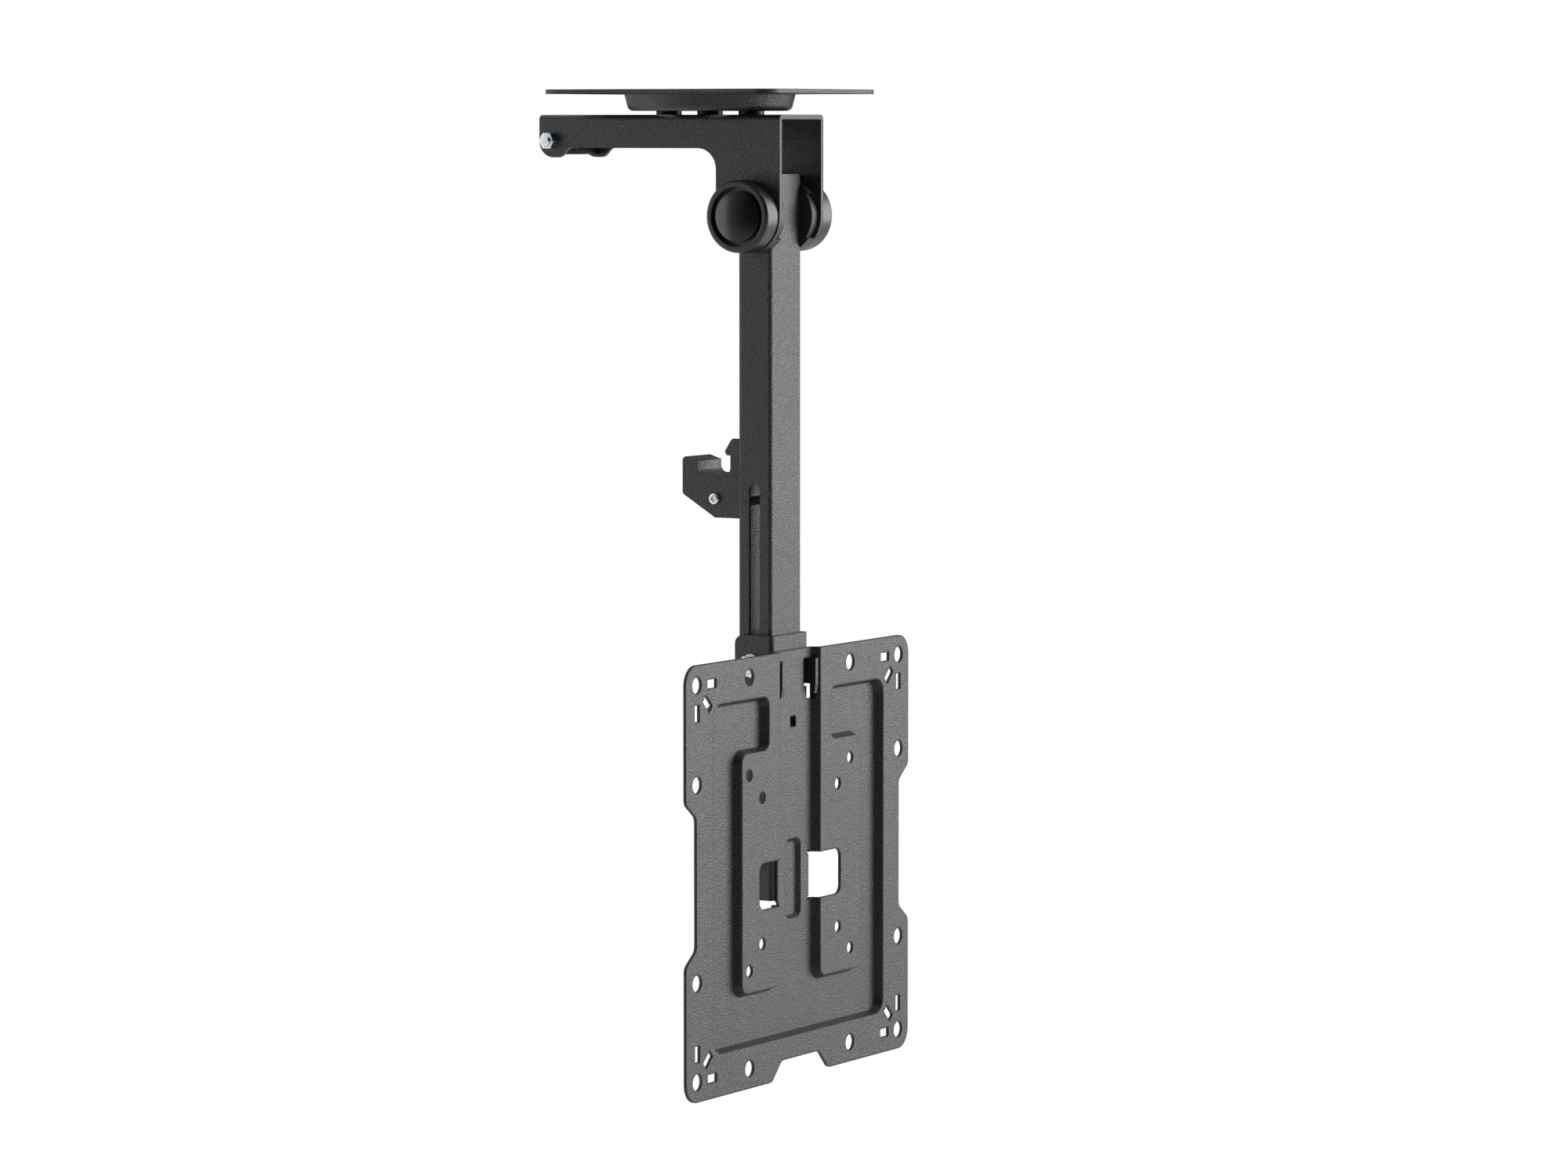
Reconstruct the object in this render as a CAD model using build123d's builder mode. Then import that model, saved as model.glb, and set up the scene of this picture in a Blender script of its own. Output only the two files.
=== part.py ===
from build123d import *
import os
from math import cos, hypot, radians, sin, sqrt, tan

os.makedirs("parts", exist_ok=True)

# Frame: millimetres, +Z up, -Y towards the screen. The origin is on the swivel axis,
# at the face of the ceiling plate that lies against the ceiling.

# Ceiling plate with its pressed dish
ceiling_width = 110.0
ceiling_depth = 140.0
ceiling_corner = 11.0
ceiling_sheet = 2.3
ceiling_hole_dia = 7.0
ceiling_hole_x = 86.0
ceiling_hole_y = 116.0
dish_mouth_dia = 88.2
dish_draft = 14.0
dish_height = 8.6
dish_bend = 3.2
mouth_bend = 2.6

# Swivel joint between the dish and the arm
swivel_swing = 60.0
clamp_pitch_r = 25.0
spacer_dia = 13.2
spacer_height = 2.0

# Folded channel that forms the arm
arm_sheet = 2.4
arm_width = 43.2
arm_bend = 2.8
flange_depth = 17.1
arm_rear = 91.1
arm_rear_corner = 1.6
leg_width = 38.1
leg_fillet = 10.8
lobe_drop = 4.9
lobe_rear_r = 8.6
lobe_flat = 4.5
lobe_front_r = 4.6
lobe_root_r = 4.1
web_notch_width = 28.0
web_notch_depth = 11.0
web_notch_corner = 3.0

# Hinge at the foot of the arm
hinge_reach = 36.0
hinge_drop = 64.5
flange_gap = 0.1
disc_notch_depth = 1.75
disc_notch_angle = 38.0
disc_notch_reach = 1.5
disc_wrap = 1.7

# Drop tube
tube_width = 30.0
tube_depth = 20.0
tube_wall = 1.5
tube_corner = 2.0
tube_above_hinge = 21.4
tube_length = 368.0
slot_width = 6.4
slot_top_below_hinge = 136.8
window_height = 4.4
window_width = 16.0
plug_head = 2.0
plug_wall = 1.8
bush_dia = 13.0

# Catch: a bolt with a shaped sleeve on the arm, a folded bracket on the tube
catch_reach = 120.3
catch_rise = 38.2
sleeve_r = 3.6
sleeve_nose = 7.1
sleeve_point_share = 0.2
sleeve_heel_share = 0.4
sleeve_heel_rise = 0.3
bracket_width = 23.0
bracket_sheet = 2.0
sleeve_sweep_gap = 1.5
bracket_back = 35.75
bracket_foot_below_mouth = 22.15
bracket_chamfer_back = 16.05
bracket_chamfer_below_mouth = 10.3
bracket_top_corner = 2.2
bracket_foot_corner = 2.0
mouth_front = 6.75
mouth_width = 19.7
mouth_floor_gap = 3.1
mouth_corner = 3.8
beak_inside_sweep = 3.4
beak_tip_height = 1.9
beak_length = 5.5
beak_chamfer = 1.3
beak_chamfer_run = 1.2
beak_tip_corner = 0.7
beak_overhang = 3.4
beak_underside_share = 0.6
catch_screw_back = 16.0
screw_below_mouth = 12.4
window_below_mouth = 13.4
insert_below_screw = 1.0

# Slide bracket that carries the plate along the tube
slide_sheet = 2.4
slide_side_clearance = 0.3
slide_front_clearance = 0.1
slide_bend = 2.6
slide_top = 118.0
slide_bottom = -18.3
slide_rear_overlap = 0.2
slide_rear_corner = 4.5
slide_notch_side = 1.0
slide_notch_head = 2.0
height_bolt_upper = 102.5
height_bolt_lower = 4.0
hook_above_bolt = 2.1
hook_height = 13.2
hook_nose = 5.1
hook_recess = 0.2
nose_slope = 0.8
nose_gap = 0.8
hook_slot_side = 1.5
hook_slot_foot = 2.7
hook_slot_step = 1.9
hook_slot_ledge = 1.1

# Screen plate
plate_above_tube_end = 14.2
wide_pattern = 200.0
middle_pattern = 100.0
small_pattern = 75.0
wide_hole_dia = 8.6
small_hole_dia = 6.0
plate_rim_x = 10.4
plate_rim_z = 10.2
plate_corner = 10.0
plate_sheet = 1.5
press_depth = 4.5
press_draft = 22.0
press_bend = 0.6
frame_inset_x = 15.7
frame_inset_z = 11.2
frame_corner = 7.5
strip_half = 20.1
neck_outer = 30.6
panel_beyond_left = 7.0
panel_beyond_right = 11.1
panel_above_holes = 11.2
panel_below_holes = 11.4
panel_corner = 5.0
side_notch_depth = 9.9
side_notch_below_hole = 9.0
side_notch_run = 7.5
foot_notch_top = 18.5
foot_notch_foot = 28.0
foot_notch_rise = 10.0
notch_corner = 5.0
tie_slot_long = 8.4
tie_slot_short = 4.5
tie_slot_along = 14.2
tie_slot_across = 0.2
tie_slot_diagonal = 10.1
window_outer = 40.3
window_inner = 15.4
window_top = 3.7
window_foot = 20.2
window_corner = 4.6
relief_r = 1.1
boss_half = 7.5
boss_top = 12.5
boss_foot = 28.9
boss_corner = 4.0
boss_depth = 2.3
boss_draft = 36.0
square_hole = 5.3
square_hole_height = 73.0
cut_margin = 1.0
face_tolerance = 0.01

# Hub covers over the hinge bolt
hub_dia = 36.9
hub_height = 10.8
hub_rim = 1.6
hub_wall = 2.4
hub_groove_outer_r = 15.2
hub_groove_depth = 3.2
cap_r = 12.9
cap_stem_r = 9.1
cap_rise = 0.9
cap_wall = 1.4
cap_edge_below_face = 0.4

# Fasteners: shank, across flats, head height, nut height, washer
m8 = dict(shank=8.0, flats=13.0, head=5.3, nut=6.5, washer_dia=16.0, washer=1.6)
m6 = dict(shank=6.0, flats=10.0, head=4.0, nut=5.0, washer_dia=12.0, washer=1.2)
m5 = dict(shank=5.0, flats=8.0, head=3.5, nut=4.0, washer_dia=10.0, washer=1.0)
hole_clearance = 0.2
running_clearance = 0.1
bolt_end = 1.4
chamfer_share = 0.08
screw_dia = 4.0
screw_head_dia = 5.8
screw_head_height = 1.9
screw_dome_share = 0.45
recess_width = 0.9
recess_length = 3.4
recess_depth = 1.0

# Levels and faces that the pieces share
dish_underside = -ceiling_sheet - dish_height
dish_floor_top = dish_underside + ceiling_sheet
arm_top = dish_underside - spacer_height
web_underside = arm_top - arm_sheet
flange_foot = arm_top - flange_depth
hinge_y = -hinge_reach
hinge_z = -hinge_drop
tube_front = hinge_y - tube_depth / 2
tube_back = hinge_y + tube_depth / 2
tube_top = hinge_z + tube_above_hinge
tube_bottom = tube_top - tube_length
flange_inner = arm_width / 2 - arm_sheet
flange_outer = arm_width / 2
arm_front = hinge_y - leg_width / 2
leg_rear = hinge_y + leg_width / 2
catch_y = hinge_y + catch_reach
catch_z = hinge_z + catch_rise
plate_z = tube_bottom + plate_above_tube_end
slide_web_back = tube_front - slide_front_clearance
slide_web_front = slide_web_back - slide_sheet
plate_front = slide_web_front - plate_sheet - press_depth
slide_inner = tube_width / 2 + slide_side_clearance
slide_outer = slide_inner + slide_sheet
hook_front = plate_front + hook_recess
hook_top = height_bolt_upper + hook_above_bolt
hook_foot = hook_top - hook_height
hook_reach = slide_web_front - hook_front
hook_blank_inner = slide_outer - slide_bend / 2 - hook_reach
catch_radius = hypot(catch_reach, catch_rise)
bracket_top_r = catch_radius + sleeve_r + sleeve_sweep_gap
mouth_floor = catch_radius + sleeve_r + mouth_floor_gap
beak_under = catch_radius - beak_inside_sweep
beak_tip = beak_under - beak_tip_height
beak_shoulder = beak_tip - beak_length
beak_top = beak_shoulder - beak_chamfer
bracket_bottom = mouth_floor + bracket_foot_below_mouth
bracket_chamfer_top = mouth_floor + bracket_chamfer_below_mouth
catch_screw_below = mouth_floor + screw_below_mouth
window_below_hinge = mouth_floor + window_below_mouth
wide_half = wide_pattern / 2
middle_half = middle_pattern / 2
plate_half_x = wide_half + plate_rim_x
plate_half_z = wide_half + plate_rim_z
frame_x = wide_half - frame_inset_x
frame_z = wide_half - frame_inset_z
panel_head = middle_half + panel_above_holes
panel_foot = middle_half + panel_below_holes
side_notch_x = plate_half_x - side_notch_depth
side_notch_out = middle_half - side_notch_below_hole
side_notch_in = side_notch_out - side_notch_run
hinge_plane = Plane(origin=(0, hinge_y, hinge_z), x_dir=(0, 1, 0), z_dir=(1, 0, 0))
catch_plane = Plane(origin=(0, catch_y, catch_z), x_dir=(0, 1, 0), z_dir=(1, 0, 0))
plate_plane = Plane(origin=(0, plate_front, plate_z), x_dir=(1, 0, 0), z_dir=(0, -1, 0))


def save(builder, name):
    builder.part.label = name
    export_step(builder.part, f"parts/{name}.step")


def facing(direction, origin):
    """A plane at origin whose normal points along direction."""
    if direction[2] != 0:
        return Plane(origin=origin, x_dir=(1, 0, 0), z_dir=direction)
    return Plane(origin=origin, x_dir=(0, 1, 0), z_dir=direction)


def bolt(places, direction, size, length):
    """Hexagon bolts whose heads rest at the places given, with shanks running the other way."""
    with BuildPart() as made:
        for place in places:
            with BuildSketch(facing(direction, place)):
                RegularPolygon(size["flats"] / 2, 6, major_radius=False)
            extrude(amount=size["head"])
            with BuildSketch(facing(direction, place)):
                Circle(size["shank"] / 2)
            extrude(amount=-length)
        tips = made.edges().filter_by(GeomType.CIRCLE)
        chamfer(tips.group_by(Axis(places[0], direction))[0], size["shank"] * chamfer_share)
    return made


def nut(places, direction, size, hole):
    """Hexagon nuts that rest at the places given and stand along direction."""
    with BuildPart() as made:
        for place in places:
            with BuildSketch(facing(direction, place)):
                RegularPolygon(size["flats"] / 2, 6, major_radius=False)
                Circle(hole / 2, mode=Mode.SUBTRACT)
            extrude(amount=size["nut"])
    return made


def washer(places, direction, outer, hole, height):
    """Flat rings that rest at the places given and stand along direction."""
    with BuildPart() as made:
        for place in places:
            with BuildSketch(facing(direction, place)):
                Circle(outer / 2)
                Circle(hole / 2, mode=Mode.SUBTRACT)
            extrude(amount=height)
    return made


# Ceiling plate: flat blank with a round dish drawn down from its middle
dish_mouth_r = dish_mouth_dia / 2
dish_slope = tan(radians(dish_draft))
wall_run = ceiling_sheet / cos(radians(dish_draft))
with BuildPart() as ceiling_plate:
    with BuildSketch(Plane.XY.offset(-ceiling_sheet)):
        RectangleRounded(ceiling_width, ceiling_depth, ceiling_corner)
    extrude(amount=ceiling_sheet)
    with BuildSketch(Plane.XZ):
        with BuildLine():
            Polyline(
                (0, -ceiling_sheet),
                (dish_mouth_r, -ceiling_sheet),
                (dish_mouth_r - dish_height * dish_slope, dish_underside),
                (0, dish_underside),
                close=True,
            )
        make_face()
        fillet(vertices().group_by(Axis.Y)[0].sort_by(Axis.X)[-1], dish_bend)
    revolve(axis=Axis.Z)
    mouth_r = dish_mouth_r + ceiling_sheet * dish_slope - wall_run
    with BuildSketch(Plane.XZ):
        with BuildLine():
            Polyline(
                (0, 0),
                (mouth_r, 0),
                (mouth_r + dish_floor_top * dish_slope, dish_floor_top),
                (0, dish_floor_top),
                close=True,
            )
        make_face()
        fillet(vertices().group_by(Axis.Y)[0].sort_by(Axis.X)[-1], dish_bend - ceiling_sheet)
    revolve(axis=Axis.Z, mode=Mode.SUBTRACT)
    rim = edges().filter_by(GeomType.CIRCLE).group_by(Axis.Z)[-1].sort_by(SortBy.LENGTH)[-1]
    fillet(rim, mouth_bend)
    with BuildSketch(Plane.XY.offset(dish_underside)):
        Circle((m8["shank"] + running_clearance) / 2)
        for middle in (90, 270):
            slot_path = CenterArc((0, 0), clamp_pitch_r, middle - swivel_swing, 2 * swivel_swing)
            SlotArc(slot_path, slot_width)
    extrude(amount=ceiling_sheet, mode=Mode.SUBTRACT)
    with BuildSketch():
        with GridLocations(ceiling_hole_x, ceiling_hole_y, 2, 2):
            Circle(ceiling_hole_dia / 2)
    extrude(amount=-ceiling_sheet, mode=Mode.SUBTRACT)
save(ceiling_plate, "ceiling_plate")

# Arm: one folded channel whose flanges run down at the front as the hinge leg
with BuildPart() as swivel_arm:
    with BuildSketch(Plane.YZ.offset(-arm_width / 2)):
        lobe_foot = flange_foot - lobe_drop
        lobe_flat_start = arm_rear - lobe_rear_r - lobe_flat
        with BuildLine():
            Polyline(
                (arm_front, arm_top),
                (arm_rear, arm_top),
                (arm_rear, lobe_foot),
                (lobe_flat_start, lobe_foot),
                (lobe_flat_start - lobe_drop, flange_foot),
                (leg_rear, flange_foot),
                (leg_rear, hinge_z),
                (arm_front, hinge_z),
                close=True,
            )
        make_face()
        rear_points = vertices().group_by(Axis.X)[-1].sort_by(Axis.Y)
        fillet(rear_points[0], lobe_rear_r)
        fillet(rear_points[-1], arm_rear_corner)
        fillet(vertices().sort_by_distance((lobe_flat_start, lobe_foot))[0], lobe_front_r)
        fillet(vertices().sort_by_distance((lobe_flat_start - lobe_drop, flange_foot))[0], lobe_root_r)
        fillet(vertices().sort_by_distance((leg_rear, flange_foot))[0], leg_fillet)
        with Locations((hinge_y, hinge_z)):
            Circle(leg_width / 2)
    extrude(amount=arm_width)
    top_edges = edges().filter_by(Axis.Y).group_by(Axis.Z)[-1]
    fillet(top_edges, arm_bend)
    channel_length = arm_rear - arm_front
    channel_depth = web_underside - hinge_z + leg_width
    with BuildSketch(Plane.XZ.offset(-arm_rear)):
        with Locations((0, web_underside)):
            Rectangle(2 * flange_inner, channel_depth, align=(Align.CENTER, Align.MAX))
        fillet(vertices().group_by(Axis.Y)[-1], arm_bend - arm_sheet)
    extrude(amount=channel_length, mode=Mode.SUBTRACT)
    with BuildSketch(Plane.XY.offset(web_underside)):
        Circle((m8["shank"] + hole_clearance) / 2)
        with Locations((0, clamp_pitch_r), (0, -clamp_pitch_r)):
            Circle((m6["shank"] + hole_clearance) / 2)
    extrude(amount=arm_sheet, mode=Mode.SUBTRACT)
    with BuildSketch(Plane.XY.offset(web_underside)):
        with Locations((0, arm_rear)):
            Rectangle(web_notch_width, web_notch_depth, align=(Align.CENTER, Align.MAX))
        fillet(vertices().group_by(Axis.Y)[0], web_notch_corner)
    extrude(amount=arm_sheet, mode=Mode.SUBTRACT)
    with BuildSketch(Plane.YZ.offset(-arm_width / 2)):
        with Locations((hinge_y, hinge_z)):
            Circle((m8["shank"] + hole_clearance) / 2)
        with Locations((catch_y, catch_z)):
            Circle((m5["shank"] + hole_clearance) / 2)
    extrude(amount=arm_width, mode=Mode.SUBTRACT)
save(swivel_arm, "swivel_arm")

# Swivel fasteners: a pivot bolt on the axis and two clamp bolts in the arc slots
down = (0, 0, -1)
up = (0, 0, 1)
clamp_spots = [(0, clamp_pitch_r), (0, -clamp_pitch_r)]
pivot_washer_top = washer([(0, 0, dish_floor_top)], up, m8["washer_dia"], m8["shank"], m8["washer"])
save(pivot_washer_top, "pivot_washer_top")
pivot_spacer = washer([(0, 0, arm_top)], up, spacer_dia, m8["shank"], spacer_height)
save(pivot_spacer, "pivot_spacer")
pivot_washer_under = washer([(0, 0, web_underside)], down, m8["washer_dia"], m8["shank"], m8["washer"])
save(pivot_washer_under, "pivot_washer_under")
pivot_grip = dish_floor_top - web_underside + 2 * m8["washer"]
pivot_head = dish_floor_top + m8["washer"]
pivot_bolt = bolt([(0, 0, pivot_head)], up, m8, pivot_grip + m8["nut"] + bolt_end)
save(pivot_bolt, "pivot_bolt")
pivot_nut = nut([(0, 0, web_underside - m8["washer"])], down, m8, m8["shank"])
save(pivot_nut, "pivot_nut")
clamp_washers = washer(
    [(x, y, dish_floor_top) for x, y in clamp_spots], up, m6["washer_dia"], m6["shank"], m6["washer"]
)
save(clamp_washers, "clamp_washers")
clamp_spacers = washer(
    [(x, y, arm_top) for x, y in clamp_spots], up, spacer_dia, m6["shank"], spacer_height
)
save(clamp_spacers, "clamp_spacers")
clamp_grip = dish_floor_top - web_underside + m6["washer"]
clamp_head = dish_floor_top + m6["washer"]
clamp_bolts = bolt(
    [(x, y, clamp_head) for x, y in clamp_spots], up, m6, clamp_grip + m6["nut"] + bolt_end
)
save(clamp_bolts, "clamp_bolts")
clamp_nuts = nut([(x, y, web_underside) for x, y in clamp_spots], down, m6, m6["shank"])
save(clamp_nuts, "clamp_nuts")

# Catch bolt across the arm's rear lobes, with the moulded sleeve that it carries
near = (-1, 0, 0)
far = (1, 0, 0)
catch_bolt = bolt(
    [(flange_outer, catch_y, catch_z)], far, m5, arm_width + m5["nut"] + bolt_end
)
save(catch_bolt, "catch_bolt")
catch_nut = nut([(-flange_outer, catch_y, catch_z)], near, m5, m5["shank"])
save(catch_nut, "catch_nut")
with BuildPart() as catch_sleeve:
    with BuildSketch(catch_plane.offset(-flange_inner)):
        Circle(sleeve_r)
        with BuildLine():
            Polyline(
                (-sleeve_r, -sleeve_nose),
                (sleeve_r * sleeve_point_share, -sleeve_nose),
                (sleeve_r, 0),
                (0, 0),
                (-sleeve_r * sleeve_heel_share, -sleeve_nose * sleeve_heel_rise),
                close=True,
            )
        make_face()
        Circle(m5["shank"] / 2, mode=Mode.SUBTRACT)
    extrude(amount=2 * flange_inner)
save(catch_sleeve, "catch_sleeve")

# Drop tube: rectangular section, open at the top, slotted low down in both sides
height_bolt_z = [plate_z + height_bolt_upper, plate_z + height_bolt_lower]
slot_top = hinge_z - slot_top_below_hinge
slot_foot = height_bolt_z[1] - slot_width / 2
with BuildPart() as drop_tube:
    with BuildSketch(Plane.XY.offset(tube_bottom)):
        with Locations((0, hinge_y)):
            RectangleRounded(tube_width, tube_depth, tube_corner)
            RectangleRounded(
                tube_width - 2 * tube_wall,
                tube_depth - 2 * tube_wall,
                tube_corner - tube_wall,
                mode=Mode.SUBTRACT,
            )
    extrude(amount=tube_length)
    with BuildSketch(Plane.YZ.offset(-tube_width / 2)):
        with Locations((hinge_y, hinge_z)):
            Circle((m8["shank"] + hole_clearance) / 2)
        with Locations((hinge_y, (slot_top + slot_foot) / 2)):
            SlotOverall(slot_top - slot_foot, slot_width, rotation=90)
    extrude(amount=tube_width, mode=Mode.SUBTRACT)
    with BuildSketch(Plane.XZ.offset(-tube_back)):
        with Locations((0, hinge_z - window_below_hinge)):
            Rectangle(window_width, window_height)
    extrude(amount=tube_wall, mode=Mode.SUBTRACT)
save(drop_tube, "drop_tube")

# Moulded plug in the tube's lower end
with BuildPart() as tube_plug:
    with BuildSketch(Plane.XY.offset(tube_bottom)):
        with Locations((0, hinge_y)):
            RectangleRounded(tube_width, tube_depth, tube_corner)
    extrude(amount=-plug_head)
    chamfer(edges().group_by(Axis.Z)[0], plug_head / 2)
    with BuildSketch(Plane.XY.offset(tube_bottom)):
        with Locations((0, hinge_y)):
            plug_x = tube_width - 2 * tube_wall
            plug_y = tube_depth - 2 * tube_wall
            RectangleRounded(plug_x, plug_y, tube_corner - tube_wall)
            Rectangle(plug_x - 2 * plug_wall, plug_y - 2 * plug_wall, mode=Mode.SUBTRACT)
    extrude(amount=slot_foot - tube_bottom - hole_clearance)
save(tube_plug, "tube_plug")

# Bush that keeps the tube from being crushed by the hinge bolt
bush_length = tube_width - 2 * tube_wall
running_bore = m8["shank"] + running_clearance
hinge_bush = washer([(-bush_length / 2, hinge_y, hinge_z)], far, bush_dia, running_bore, bush_length)
save(hinge_bush, "hinge_bush")

# Hinge discs between the tube and the flanges, each hollowed to hold the tube's side
disc_r = leg_width / 2
disc_inner = tube_width / 2 - disc_wrap
for side, name in ((-1, "hinge_disc_left"), (1, "hinge_disc_right")):
    with BuildPart() as hinge_disc:
        with BuildSketch(hinge_plane.offset(side * disc_inner)):
            Circle(disc_r)
            with BuildLine():
                notch_y = disc_r * disc_notch_reach * cos(radians(disc_notch_angle))
                notch_z = disc_r * disc_notch_reach * sin(radians(disc_notch_angle))
                Polyline((0, 0), (-notch_y, notch_z), (-notch_y, -notch_z), close=True)
            make_face(mode=Mode.SUBTRACT)
            Circle(disc_r - disc_notch_depth)
            Circle(running_bore / 2, mode=Mode.SUBTRACT)
        extrude(amount=side * (flange_inner - flange_gap - disc_inner))
        with BuildSketch(hinge_plane.offset(side * disc_inner)):
            Rectangle(tube_depth, 2 * leg_width)
        extrude(amount=side * disc_wrap, mode=Mode.SUBTRACT)
    save(hinge_disc, name)

# Catch bracket: a folded channel on the tube's back, its cheeks cut to an open mouth
cheek_inner = bracket_width / 2 - bracket_sheet
tube_back_offset = tube_depth / 2


def catch_outline():
    """Side view of the catch, drawn from the hinge: x away from the tube, y down the tube."""
    mouth_back = tube_back_offset + mouth_front + mouth_width
    mouth_wall = tube_back_offset + mouth_front
    outer = tube_back_offset + bracket_back
    top_inner = -sqrt(bracket_top_r**2 - mouth_back**2)
    top_outer = -sqrt(bracket_top_r**2 - outer**2)
    middle = (mouth_back + outer) / 2
    top_middle = -sqrt(bracket_top_r**2 - middle**2)
    with BuildSketch(hinge_plane, mode=Mode.PRIVATE) as outline:
        with BuildLine():
            Polyline(
                (outer, top_outer),
                (outer, -bracket_chamfer_top),
                (tube_back_offset + bracket_chamfer_back, -bracket_bottom),
                (tube_back_offset, -bracket_bottom),
                (tube_back_offset, -beak_top),
                (mouth_wall - beak_chamfer_run, -beak_top),
                (mouth_wall, -beak_shoulder),
                (mouth_wall + beak_overhang, -beak_tip),
                (mouth_wall + beak_overhang * beak_underside_share, -beak_under),
                (mouth_wall, -beak_under),
                (mouth_wall, -mouth_floor),
                (mouth_back, -mouth_floor),
                (mouth_back, top_inner),
            )
            ThreePointArc((mouth_back, top_inner), (middle, top_middle), (outer, top_outer))
        make_face()
        for corner in ((mouth_wall, -mouth_floor), (mouth_back, -mouth_floor)):
            fillet(outline.vertices().sort_by_distance(corner)[0], mouth_corner)
        top_corner = outline.vertices().sort_by_distance((outer, top_outer))[0]
        fillet(top_corner, bracket_top_corner)
        foot_corner = outline.vertices().sort_by_distance((outer, -bracket_chamfer_top))[0]
        fillet(foot_corner, bracket_foot_corner)
        tip_corner = outline.vertices().sort_by_distance((mouth_wall + beak_overhang, -beak_tip))[0]
        fillet(tip_corner, beak_tip_corner)
    return outline.sketch_local


catch_face = catch_outline()
with BuildPart() as catch_bracket:
    with BuildSketch(hinge_plane.offset(-bracket_width / 2)):
        add(catch_face)
    extrude(amount=bracket_width)
    with BuildSketch(Plane.XY.offset(hinge_z - bracket_bottom)):
        with Locations((0, tube_back + bracket_sheet)):
            Rectangle(2 * cheek_inner, bracket_back, align=(Align.CENTER, Align.MIN))
    extrude(amount=bracket_bottom - beak_top, mode=Mode.SUBTRACT)
    with BuildSketch(Plane.XZ.offset(-tube_back - bracket_sheet)):
        with Locations((0, hinge_z - window_below_hinge)):
            Rectangle(window_width, window_height)
    extrude(amount=bracket_sheet, mode=Mode.SUBTRACT)
    with BuildSketch(hinge_plane.offset(-bracket_width / 2)):
        with Locations((tube_back_offset + catch_screw_back, -catch_screw_below)):
            Circle((screw_dia + hole_clearance) / 2)
    extrude(amount=bracket_width, mode=Mode.SUBTRACT)
save(catch_bracket, "catch_bracket")

# Moulded insert between the cheeks: it backs the mouth's rear wall and floor
with BuildPart() as catch_insert:
    with BuildSketch(hinge_plane.offset(-cheek_inner)):
        add(catch_face)
        insert_front = tube_back_offset + mouth_front + mouth_corner
        with Locations((insert_front, -beak_top)):
            insert_depth = catch_screw_below + screw_dia + insert_below_screw - beak_top
            Rectangle(bracket_back, insert_depth, align=(Align.MIN, Align.MAX), mode=Mode.INTERSECT)
        with Locations((tube_back_offset + catch_screw_back, -catch_screw_below)):
            Circle(screw_dia / 2, mode=Mode.SUBTRACT)
    extrude(amount=2 * cheek_inner)
save(catch_insert, "catch_insert")

# Cross-head screw that holds the insert
screw_y = tube_back + catch_screw_back
screw_z = hinge_z - catch_screw_below
screw_seat = -bracket_width / 2
with BuildPart() as catch_screw:
    with BuildSketch(facing(near, (screw_seat, screw_y, screw_z))):
        Circle(screw_head_dia / 2)
    extrude(amount=screw_head_height)
    fillet(edges().group_by(Axis.X)[0], screw_head_height * screw_dome_share)
    with BuildSketch(facing(near, (screw_seat - screw_head_height, screw_y, screw_z))):
        Rectangle(recess_length, recess_width)
        Rectangle(recess_width, recess_length)
    extrude(amount=-recess_depth, mode=Mode.SUBTRACT)
    with BuildSketch(facing(near, (screw_seat, screw_y, screw_z))):
        Circle(screw_dia / 2)
    extrude(amount=-bracket_width)
save(catch_screw, "catch_screw")

# Hinge bolt through both flanges, both discs and the bush
hinge_left = (-flange_outer, hinge_y, hinge_z)
hinge_right = (flange_outer, hinge_y, hinge_z)
with BuildPart() as hinge_washers:
    for place, way in ((hinge_left, near), (hinge_right, far)):
        with BuildSketch(facing(way, place)):
            Circle(m8["washer_dia"] / 2)
            Circle(m8["shank"] / 2, mode=Mode.SUBTRACT)
        extrude(amount=m8["washer"])
save(hinge_washers, "hinge_washers")
head_seat = flange_outer + m8["washer"]
hinge_bolt = bolt([(-head_seat, hinge_y, hinge_z)], near, m8, 2 * head_seat + m8["nut"])
save(hinge_bolt, "hinge_bolt")
hinge_nut = nut([(head_seat, hinge_y, hinge_z)], far, m8, m8["shank"])
save(hinge_nut, "hinge_nut")

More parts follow.
